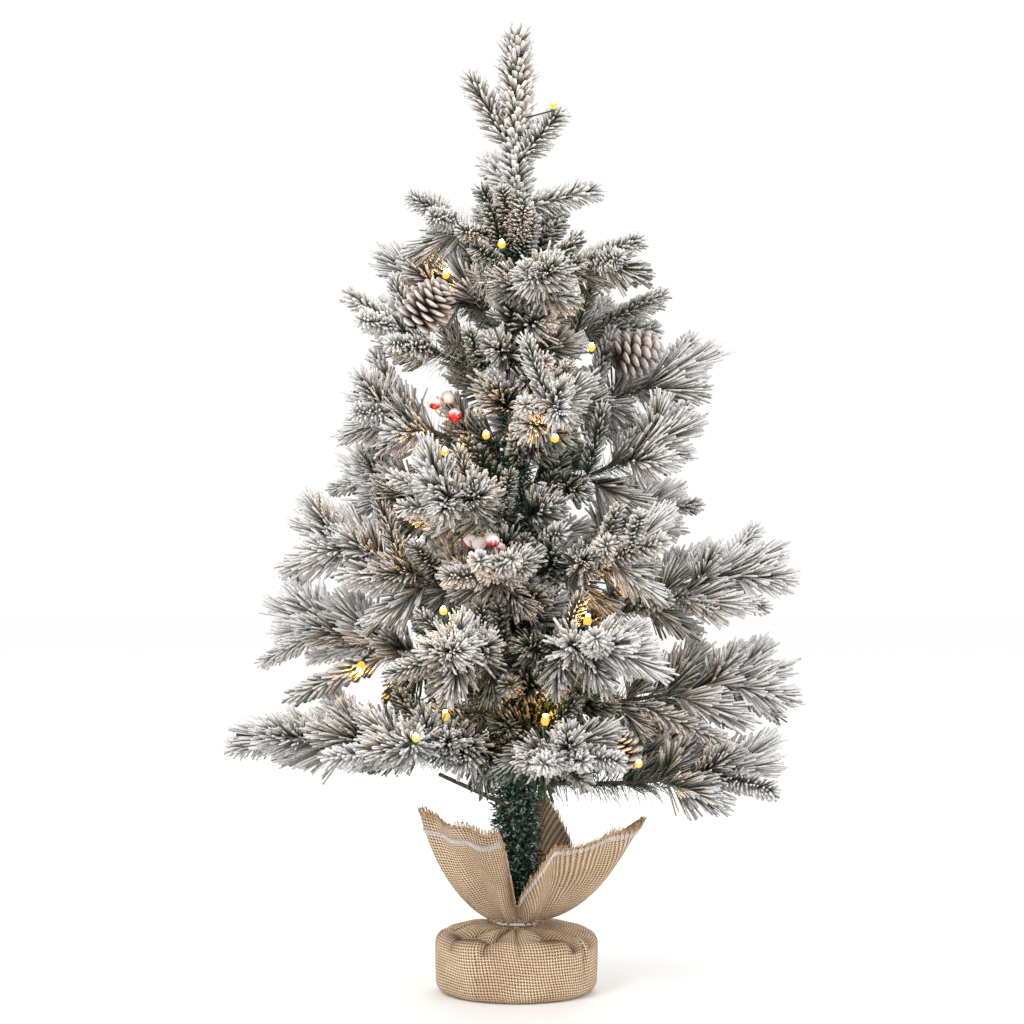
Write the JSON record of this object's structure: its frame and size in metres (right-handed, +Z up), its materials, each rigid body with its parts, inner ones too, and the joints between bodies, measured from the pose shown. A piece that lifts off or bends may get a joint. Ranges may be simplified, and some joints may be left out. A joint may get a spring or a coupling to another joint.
{
  "type": "artificial tabletop tree",
  "caption": "Flocked tabletop Christmas tree on a weighted base in a gathered burlap bag, with folding wire branches, pine cones, berries and a battery light string.",
  "frame": {"origin": "centre of the flat face under the burlap bag, on the pole's axis, where the tree stands", "axes": "+Z up along the pole, +X to the tree's right as the viewer faces it, +Y to its back, where the battery box is"},
  "size_m": [0.5334, 0.4345, 0.9],
  "materials": {
    "burlap": "matte",
    "white_tie": "matte",
    "pot_plastic": "satin",
    "cement": "matte",
    "pole_paint": "satin",
    "dark_tinsel": "matte",
    "flocked_needles": "matte",
    "pine_cone": "matte",
    "frosted_berry": "satin",
    "warm_lamp": "gloss",
    "green_cable": "satin",
    "case_plastic": "satin",
    "knob_plastic": "satin",
    "cell_jacket": "gloss",
    "contact_metal": "satin",
    "tie_wire": "satin"
  },
  "bodies": {
    "trunk_and_base": {"burlap_bag": "burlap", "bag_tie": "white_tie", "base_pot": "pot_plastic", "cement_weight": "cement", "pole_sleeve": "pot_plastic", "trunk_pole": "pole_paint", "trunk_wrap": "dark_tinsel", "leader": "flocked_needles", "light_cable": "green_cable", "battery_case": "case_plastic", "battery_cell_1": "cell_jacket", "battery_cell_2": "cell_jacket", "battery_cell_3": "cell_jacket", "contact_plate_bottom": "contact_metal", "contact_plate_top": "contact_metal", "box_twist_tie": "tie_wire"},
    "battery_cover": {"battery_cover": "case_plastic"},
    "switch_knob": {"switch_knob": "knob_plastic"},
    "fold_right_1": {"branch_right_1": "flocked_needles", "pine_cone_4": "pine_cone"},
    "fold_back_right_1": {"branch_back_right_1": "flocked_needles"},
    "fold_back_left_1": {"branch_back_left_1": "flocked_needles"},
    "fold_left_1": {"branch_left_1": "flocked_needles"},
    "fold_front_left_1": {"branch_front_left_1": "flocked_needles", "lamp_1": "warm_lamp"},
    "fold_front_right_1": {"branch_front_right_1": "flocked_needles", "lamp_2": "warm_lamp"},
    "fold_right_2": {"branch_right_2": "flocked_needles", "berries_3": "frosted_berry"},
    "fold_back_2": {"branch_back_2": "flocked_needles"},
    "fold_left_2": {"branch_left_2": "flocked_needles", "lamp_3": "warm_lamp"},
    "fold_front_left_2": {"branch_front_left_2": "flocked_needles"},
    "fold_front_right_2": {"branch_front_right_2": "flocked_needles", "lamp_4": "warm_lamp"},
    "fold_right_3": {"branch_right_3": "flocked_needles"},
    "fold_back_3": {"branch_back_3": "flocked_needles"},
    "fold_left_3": {"branch_left_3": "flocked_needles"},
    "fold_front_left_3": {"branch_front_left_3": "flocked_needles"},
    "fold_front_right_3": {"branch_front_right_3": "flocked_needles"},
    "fold_right_4": {"branch_right_4": "flocked_needles", "pine_cone_3": "pine_cone"},
    "fold_back_4": {"branch_back_4": "flocked_needles"},
    "fold_left_4": {"branch_left_4": "flocked_needles"},
    "fold_front_left_4": {"branch_front_left_4": "flocked_needles", "berries_2": "frosted_berry"},
    "fold_right_5": {"branch_right_5": "flocked_needles"},
    "fold_left_5": {"branch_left_5": "flocked_needles", "berries_1": "frosted_berry"},
    "fold_front_right_5": {"branch_front_right_5": "flocked_needles"},
    "fold_right_6": {"branch_right_6": "flocked_needles", "pine_cone_2": "pine_cone"},
    "fold_back_6": {"branch_back_6": "flocked_needles"},
    "fold_left_6": {"branch_left_6": "flocked_needles", "pine_cone_1": "pine_cone"},
    "fold_right_7": {"branch_right_7": "flocked_needles"},
    "fold_left_7": {"branch_left_7": "flocked_needles"},
    "fold_front_right_7": {"branch_front_right_7": "flocked_needles"},
    "fold_right_8": {"branch_right_8": "flocked_needles"},
    "fold_left_8": {"branch_left_8": "flocked_needles"}
  },
  "joints": [
    {"name": "bend_left_1", "type": "hinge", "parent": "trunk_and_base", "child": "fold_left_1", "pos_m": [-0.0166, -0.00233, 0.22947], "axis": [-0.1392, 0.9903, 0], "range_deg": [-8, 25]},
    {"name": "bend_right_1", "type": "hinge", "parent": "trunk_and_base", "child": "fold_right_1", "pos_m": [0.0167, -0.00385, 0.19262], "axis": [-0.225, -0.9744, 0], "range_deg": [-8, 25]},
    {"name": "bend_back_right_1", "type": "hinge", "parent": "trunk_and_base", "child": "fold_back_right_1", "pos_m": [0.01446, 0.00904, 0.20087], "axis": [0.5299, -0.848, 0], "range_deg": [-8, 25]},
    {"name": "bend_back_left_1", "type": "hinge", "parent": "trunk_and_base", "child": "fold_back_left_1", "pos_m": [-0.01458, 0.00842, 0.2225], "axis": [0.5, 0.866, 0], "range_deg": [-8, 25]},
    {"name": "bend_front_left_1", "type": "hinge", "parent": "trunk_and_base", "child": "fold_front_left_1", "pos_m": [-0.00932, -0.01382, 0.23827], "axis": [-0.829, 0.5592, 0], "range_deg": [-8, 25]},
    {"name": "bend_front_right_1", "type": "hinge", "parent": "trunk_and_base", "child": "fold_front_right_1", "pos_m": [0.00457, -0.01594, 0.24743], "axis": [-0.9613, -0.2756, 0], "range_deg": [-8, 25]},
    {"name": "bend_right_2", "type": "hinge", "parent": "trunk_and_base", "child": "fold_right_2", "pos_m": [0.01643, 0.00057, 0.26137], "axis": [0.0349, -0.9994, 0], "range_deg": [-8, 25]},
    {"name": "bend_back_2", "type": "hinge", "parent": "trunk_and_base", "child": "fold_back_2", "pos_m": [-0.00057, 0.01626, 0.27787], "axis": [0.9994, 0.0349, 0], "range_deg": [-8, 25]},
    {"name": "bend_left_2", "type": "hinge", "parent": "trunk_and_base", "child": "fold_left_2", "pos_m": [-0.01566, 0.0039, 0.29143], "axis": [0.2419, 0.9703, 0], "range_deg": [-8, 25]},
    {"name": "bend_front_left_2", "type": "hinge", "parent": "trunk_and_base", "child": "fold_front_left_2", "pos_m": [-0.0065, -0.01461, 0.3061], "axis": [-0.9135, 0.4067, 0], "range_deg": [-8, 25]},
    {"name": "bend_front_right_2", "type": "hinge", "parent": "trunk_and_base", "child": "fold_front_right_2", "pos_m": [0.00794, -0.01376, 0.316], "axis": [-0.866, -0.5, 0], "range_deg": [-8, 25]},
    {"name": "bend_right_3", "type": "hinge", "parent": "trunk_and_base", "child": "fold_right_3", "pos_m": [0.01577, -0.00055, 0.32663], "axis": [-0.0349, -0.9994, 0], "range_deg": [-8, 25]},
    {"name": "bend_back_3", "type": "hinge", "parent": "trunk_and_base", "child": "fold_back_3", "pos_m": [-0.0073, 0.01374, 0.34863], "axis": [0.8829, 0.4695, 0], "range_deg": [-8, 25]},
    {"name": "bend_left_3", "type": "hinge", "parent": "trunk_and_base", "child": "fold_left_3", "pos_m": [-0.01514, -0.00294, 0.36202], "axis": [-0.1908, 0.9816, 0], "range_deg": [-8, 25]},
    {"name": "bend_front_left_3", "type": "hinge", "parent": "trunk_and_base", "child": "fold_front_left_3", "pos_m": [-0.00318, -0.01496, 0.3743], "axis": [-0.9781, 0.2079, 0], "range_deg": [-8, 25]},
    {"name": "bend_front_right_3", "type": "hinge", "parent": "trunk_and_base", "child": "fold_front_right_3", "pos_m": [0.01129, -0.01016, 0.3853], "axis": [-0.6691, -0.7431, 0], "range_deg": [-8, 25]},
    {"name": "bend_right_4", "type": "hinge", "parent": "trunk_and_base", "child": "fold_right_4", "pos_m": [0.01329, 0.00707, 0.39813], "axis": [0.4695, -0.8829, 0], "range_deg": [-8, 25]},
    {"name": "bend_back_4", "type": "hinge", "parent": "trunk_and_base", "child": "fold_back_4", "pos_m": [-0.00156, 0.01485, 0.4106], "axis": [0.9945, 0.1045, 0], "range_deg": [-8, 25]},
    {"name": "bend_left_4", "type": "hinge", "parent": "trunk_and_base", "child": "fold_left_4", "pos_m": [-0.01442, 0.00333, 0.42362], "axis": [0.225, 0.9744, 0], "range_deg": [-8, 25]},
    {"name": "bend_front_left_4", "type": "hinge", "parent": "trunk_and_base", "child": "fold_front_left_4", "pos_m": [-0.00733, -0.0127, 0.437], "axis": [-0.866, 0.5, 0], "range_deg": [-8, 25]},
    {"name": "bend_right_5", "type": "hinge", "parent": "trunk_and_base", "child": "fold_right_5", "pos_m": [0.01404, -0.0035, 0.45643], "axis": [-0.2419, -0.9703, 0], "range_deg": [-8, 25]},
    {"name": "bend_left_5", "type": "hinge", "parent": "trunk_and_base", "child": "fold_left_5", "pos_m": [-0.01383, -0.00269, 0.49402], "axis": [-0.1908, 0.9816, 0], "range_deg": [-8, 25]},
    {"name": "bend_front_right_5", "type": "hinge", "parent": "trunk_and_base", "child": "fold_front_right_5", "pos_m": [0.0043, -0.01323, 0.5118], "axis": [-0.9511, -0.309, 0], "range_deg": [-8, 25]},
    {"name": "bend_right_6", "type": "hinge", "parent": "trunk_and_base", "child": "fold_right_6", "pos_m": [0.01334, 0.00332, 0.52757], "axis": [0.2419, -0.9703, 0], "range_deg": [-8, 25]},
    {"name": "bend_back_6", "type": "hinge", "parent": "trunk_and_base", "child": "fold_back_6", "pos_m": [0.00189, 0.01349, 0.54003], "axis": [0.9903, -0.1392, 0], "range_deg": [-8, 25]},
    {"name": "bend_left_6", "type": "hinge", "parent": "trunk_and_base", "child": "fold_left_6", "pos_m": [-0.01259, -0.00458, 0.56167], "axis": [-0.342, 0.9397, 0], "range_deg": [-8, 25]},
    {"name": "bend_right_7", "type": "hinge", "parent": "trunk_and_base", "child": "fold_right_7", "pos_m": [0.01152, 0.00613, 0.59613], "axis": [0.4695, -0.8829, 0], "range_deg": [-8, 25]},
    {"name": "bend_left_7", "type": "hinge", "parent": "trunk_and_base", "child": "fold_left_7", "pos_m": [-0.01236, 0.00331, 0.62125], "axis": [0.2588, 0.9659, 0], "range_deg": [-8, 25]},
    {"name": "bend_front_right_7", "type": "hinge", "parent": "trunk_and_base", "child": "fold_front_right_7", "pos_m": [0.0043, -0.01181, 0.64417], "axis": [-0.9397, -0.342, 0], "range_deg": [-8, 25]},
    {"name": "bend_right_8", "type": "hinge", "parent": "trunk_and_base", "child": "fold_right_8", "pos_m": [0.01218, -0.00259, 0.6548], "axis": [-0.2079, -0.9781, 0], "range_deg": [-8, 25]},
    {"name": "bend_left_8", "type": "hinge", "parent": "trunk_and_base", "child": "fold_left_8", "pos_m": [-0.0119, -0.0021, 0.69183], "axis": [-0.1736, 0.9848, 0], "range_deg": [-8, 25]},
    {"name": "cover_slide", "type": "slide", "parent": "trunk_and_base", "child": "battery_cover", "axis": [0, 0, -1], "range_m": [0, 0.02]},
    {"name": "switch_slide", "type": "slide", "parent": "trunk_and_base", "child": "switch_knob", "axis": [0, 0, 1], "range_m": [0, 0.004]}
  ],
  "couplings": [
    {"joint": "bend_right_1", "follows": "bend_left_1", "ratio": 1},
    {"joint": "bend_back_right_1", "follows": "bend_left_1", "ratio": 1},
    {"joint": "bend_back_left_1", "follows": "bend_left_1", "ratio": 1},
    {"joint": "bend_front_left_1", "follows": "bend_left_1", "ratio": 1},
    {"joint": "bend_front_right_1", "follows": "bend_left_1", "ratio": 1},
    {"joint": "bend_right_2", "follows": "bend_left_1", "ratio": 1},
    {"joint": "bend_back_2", "follows": "bend_left_1", "ratio": 1},
    {"joint": "bend_left_2", "follows": "bend_left_1", "ratio": 1},
    {"joint": "bend_front_left_2", "follows": "bend_left_1", "ratio": 1},
    {"joint": "bend_front_right_2", "follows": "bend_left_1", "ratio": 1},
    {"joint": "bend_right_3", "follows": "bend_left_1", "ratio": 1},
    {"joint": "bend_back_3", "follows": "bend_left_1", "ratio": 1},
    {"joint": "bend_left_3", "follows": "bend_left_1", "ratio": 1},
    {"joint": "bend_front_left_3", "follows": "bend_left_1", "ratio": 1},
    {"joint": "bend_front_right_3", "follows": "bend_left_1", "ratio": 1},
    {"joint": "bend_right_4", "follows": "bend_left_1", "ratio": 1},
    {"joint": "bend_back_4", "follows": "bend_left_1", "ratio": 1},
    {"joint": "bend_left_4", "follows": "bend_left_1", "ratio": 1},
    {"joint": "bend_front_left_4", "follows": "bend_left_1", "ratio": 1},
    {"joint": "bend_right_5", "follows": "bend_left_1", "ratio": 1},
    {"joint": "bend_left_5", "follows": "bend_left_1", "ratio": 1},
    {"joint": "bend_front_right_5", "follows": "bend_left_1", "ratio": 1},
    {"joint": "bend_right_6", "follows": "bend_left_1", "ratio": 1},
    {"joint": "bend_back_6", "follows": "bend_left_1", "ratio": 1},
    {"joint": "bend_left_6", "follows": "bend_left_1", "ratio": 1},
    {"joint": "bend_right_7", "follows": "bend_left_1", "ratio": 1},
    {"joint": "bend_left_7", "follows": "bend_left_1", "ratio": 1},
    {"joint": "bend_front_right_7", "follows": "bend_left_1", "ratio": 1},
    {"joint": "bend_right_8", "follows": "bend_left_1", "ratio": 1},
    {"joint": "bend_left_8", "follows": "bend_left_1", "ratio": 1}
  ]
}
